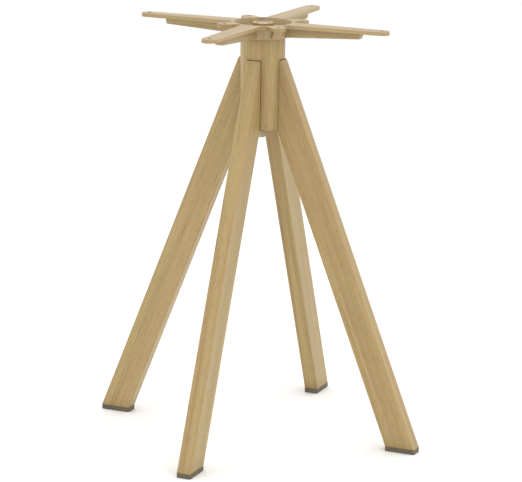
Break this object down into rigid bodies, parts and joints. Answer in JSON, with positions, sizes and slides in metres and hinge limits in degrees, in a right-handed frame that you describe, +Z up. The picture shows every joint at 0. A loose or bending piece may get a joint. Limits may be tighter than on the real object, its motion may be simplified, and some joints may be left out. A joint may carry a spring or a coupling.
{
  "type": "star table base",
  "caption": "Table base with raked rectangular legs set into a slotted round column, under a cast star of tapering arms that is screwed to a table top.",
  "frame": {"origin": "on the floor, on the column's axis", "axes": "+Z up along the column; legs and arms lie along X and Y"},
  "size_m": [0.5982, 0.5982, 0.72],
  "materials": {
    "oak_effect_cast": "satin oak-effect coating on a cast arm star",
    "oak_effect_tube": "satin oak-effect coating on steel tube, grain along the tube",
    "plain_steel": "plain mill finish",
    "zinc_hardware": "yellow-passivated zinc plate",
    "glide_plastic": "moulded, dark brown-grey"
  },
  "bodies": {
    "root": {"top_spider": "oak_effect_cast", "column_sleeve": "oak_effect_tube", "core_tube": "plain_steel", "bottom_plate": "oak_effect_tube", "tie_bolt": "zinc_hardware", "tie_washer": "zinc_hardware", "tie_nut": "zinc_hardware", "leg_right": "oak_effect_tube", "leg_end_plate_right": "oak_effect_tube", "leg_screws_right": "zinc_hardware", "foot_glide_right": "glide_plastic", "leg_back": "oak_effect_tube", "leg_end_plate_back": "oak_effect_tube", "leg_screws_back": "zinc_hardware", "foot_glide_back": "glide_plastic", "leg_left": "oak_effect_tube", "leg_end_plate_left": "oak_effect_tube", "leg_screws_left": "zinc_hardware", "foot_glide_left": "glide_plastic", "leg_front": "oak_effect_tube", "leg_end_plate_front": "oak_effect_tube", "leg_screws_front": "zinc_hardware", "foot_glide_front": "glide_plastic"}
  },
  "joints": []
}
